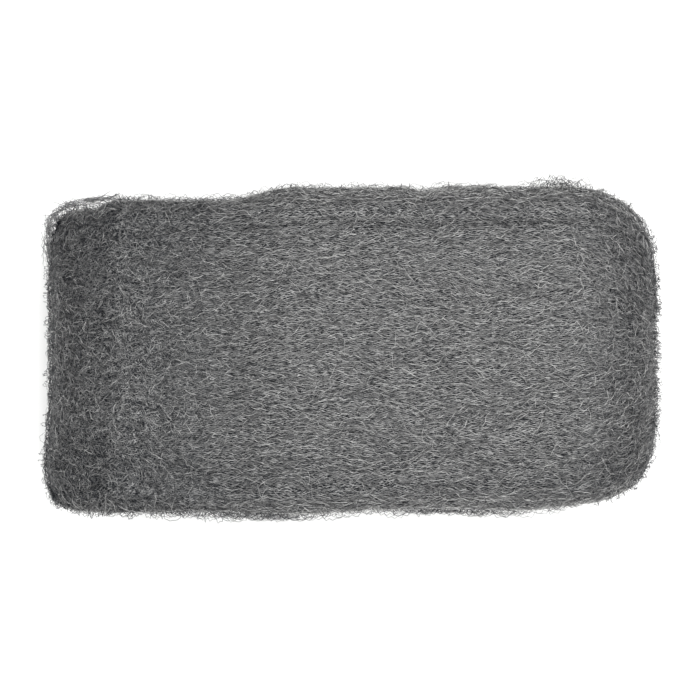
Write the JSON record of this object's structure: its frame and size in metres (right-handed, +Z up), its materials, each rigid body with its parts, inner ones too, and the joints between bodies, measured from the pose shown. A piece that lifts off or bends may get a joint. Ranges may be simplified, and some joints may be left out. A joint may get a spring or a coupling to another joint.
{
  "type": "steel wool bundle",
  "caption": "Flat-wound pad of fine steel wool with rounded folds at both ends, for scouring, polishing and stripping.",
  "frame": {"origin": "centre of the bundle's outline on the surface it rests on", "axes": "+X along the ribbon from the lower tail fold to the fuller fold, +Y across the ribbon's width, +Z up from the resting face"},
  "size_m": [0.2, 0.107, 0.044],
  "materials": {
    "steel_wool": "fine shaved low-carbon steel fibres, matted along the ribbon, dull silver grey with dark gaps between"
  },
  "bodies": {
    "root": {"steel_wool_bundle": "steel_wool"}
  },
  "joints": []
}
